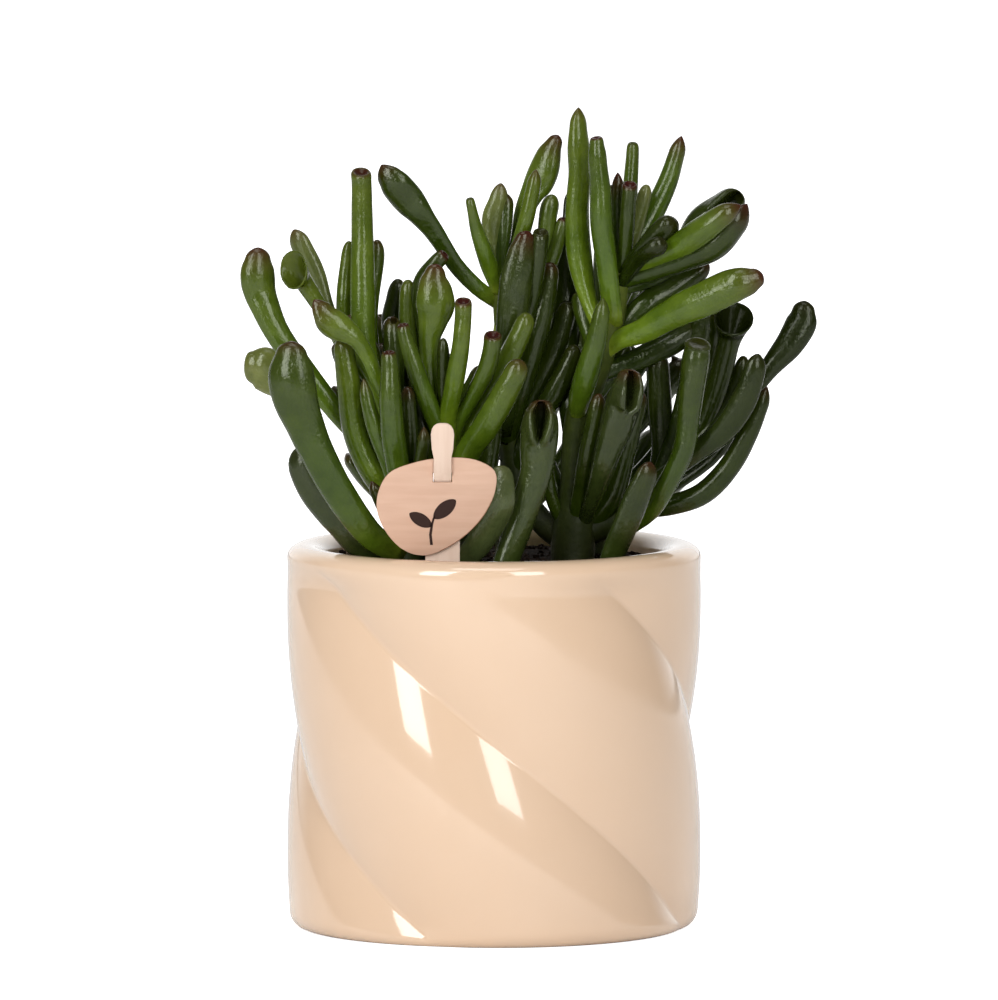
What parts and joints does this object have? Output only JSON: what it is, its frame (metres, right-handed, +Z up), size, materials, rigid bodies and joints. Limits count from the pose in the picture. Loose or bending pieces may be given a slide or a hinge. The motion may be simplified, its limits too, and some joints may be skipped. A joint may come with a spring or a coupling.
{
  "type": "potted hobbit jade",
  "caption": "Succulent with finger, paddle and trumpet shaped leaves on branching stems, in soil in a glazed pot with twisted lobes, with a plain wooden plant tag.",
  "frame": {"origin": "middle of the pot's flat base, on the surface it stands on", "axes": "+Z up, -Y towards the front, where the plant tag stands, +X to the right seen from the front"},
  "size_m": [0.1621, 0.116, 0.2297],
  "materials": {
    "pot_glaze": "glossy cream glaze",
    "soil": "dark crumbly peat",
    "leaf": "waxy green with red-brown tips",
    "tag_wood": "smooth pale wood"
  },
  "bodies": {
    "root": {"pot": "pot_glaze", "soil": "soil", "left_leafy_stem": "leaf", "middle_leafy_stem": "leaf", "front_leafy_stem": "leaf", "main_leafy_stem": "leaf", "back_left_leafy_stem": "leaf", "back_middle_leafy_stem": "leaf", "back_right_leafy_stem": "leaf", "tag_stake": "tag_wood", "tag_disc": "tag_wood"}
  },
  "joints": []
}
